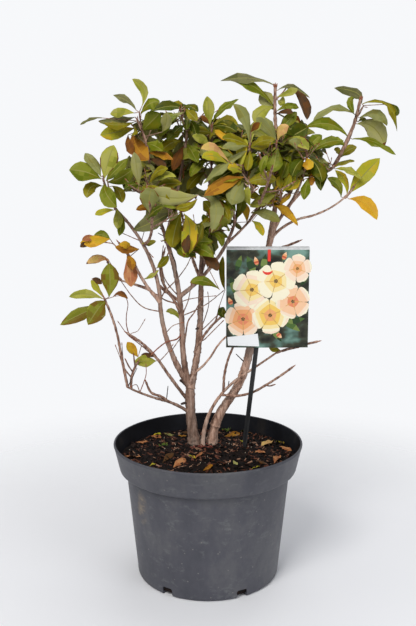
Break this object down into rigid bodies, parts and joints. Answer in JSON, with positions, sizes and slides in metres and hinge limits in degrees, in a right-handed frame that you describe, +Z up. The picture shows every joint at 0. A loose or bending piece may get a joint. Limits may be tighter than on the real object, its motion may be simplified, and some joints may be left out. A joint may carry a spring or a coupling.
{
  "type": "potted rhododendron",
  "caption": "Potted rhododendron shrub with forked woody stems, open bare lower twigs, leafy whorled crown and a picture label on a stick, in a round black nursery pot.",
  "frame": {"origin": "centre of the pot's flat underside", "axes": "+Z up the plant, -Y towards the side that the label's picture faces, +X to that viewer's right"},
  "size_m": [0.4839, 0.3926, 0.7568],
  "materials": {
    "pot": "matt moulded",
    "growing_mix": "damp bark and peat",
    "label_card": "printed picture under a clear film",
    "label_stick": "satin",
    "bark": "thin flaking bark",
    "foliage": "satin leaves"
  },
  "bodies": {
    "root": {"back_left": "bark", "back_left_leaves": "foliage", "back_right": "bark", "back_right_leaves": "foliage", "back_stem": "bark", "back_stem_leaves": "foliage", "centre_bough": "bark", "centre_front_leaves": "foliage", "centre_leaves": "foliage", "centre_low_leaves": "foliage", "centre_right": "bark", "centre_top_leaves": "foliage", "cross_bough": "bark", "far_back_left_leaves": "foliage", "far_left_low_leaves": "foliage", "front_left_leaves": "foliage", "front_right_leaves": "foliage", "front_twig": "bark", "growing_mix": "growing_mix", "inner_left_twigs": "foliage", "inner_low_twigs": "foliage", "inner_right_twigs": "foliage", "label_card": "label_card", "label_stick": "label_stick", "leader": "bark", "leader_leaves": "foliage", "leader_side_leaves": "foliage", "left_bough": "bark", "left_fork": "bark", "left_leaves": "foliage", "left_lower": "bark", "left_lower_leaves": "foliage", "left_outer": "bark", "left_rust_leaves": "foliage", "low_bough": "bark", "low_left": "bark", "low_left_leaves": "foliage", "low_left_twigs": "foliage", "lower_front_leaves": "foliage", "mid_left_leaves": "foliage", "mid_top": "bark", "middle_low_twig": "foliage", "middle_stem": "bark", "middle_stem_leaf": "foliage", "middle_up_twig": "foliage", "pot": "pot", "right_centre_leaves": "foliage", "right_end_leaves": "foliage", "right_fork": "bark", "right_inner_leaves": "foliage", "right_mid_leaves": "foliage", "right_reach": "bark", "right_rise": "bark", "right_side_twig": "foliage", "right_stem": "bark", "right_top_leaves": "foliage", "trunk": "bark", "upper_left_leaves": "foliage", "upper_mid_leaves": "foliage", "wavy_twig": "foliage"}
  },
  "joints": []
}
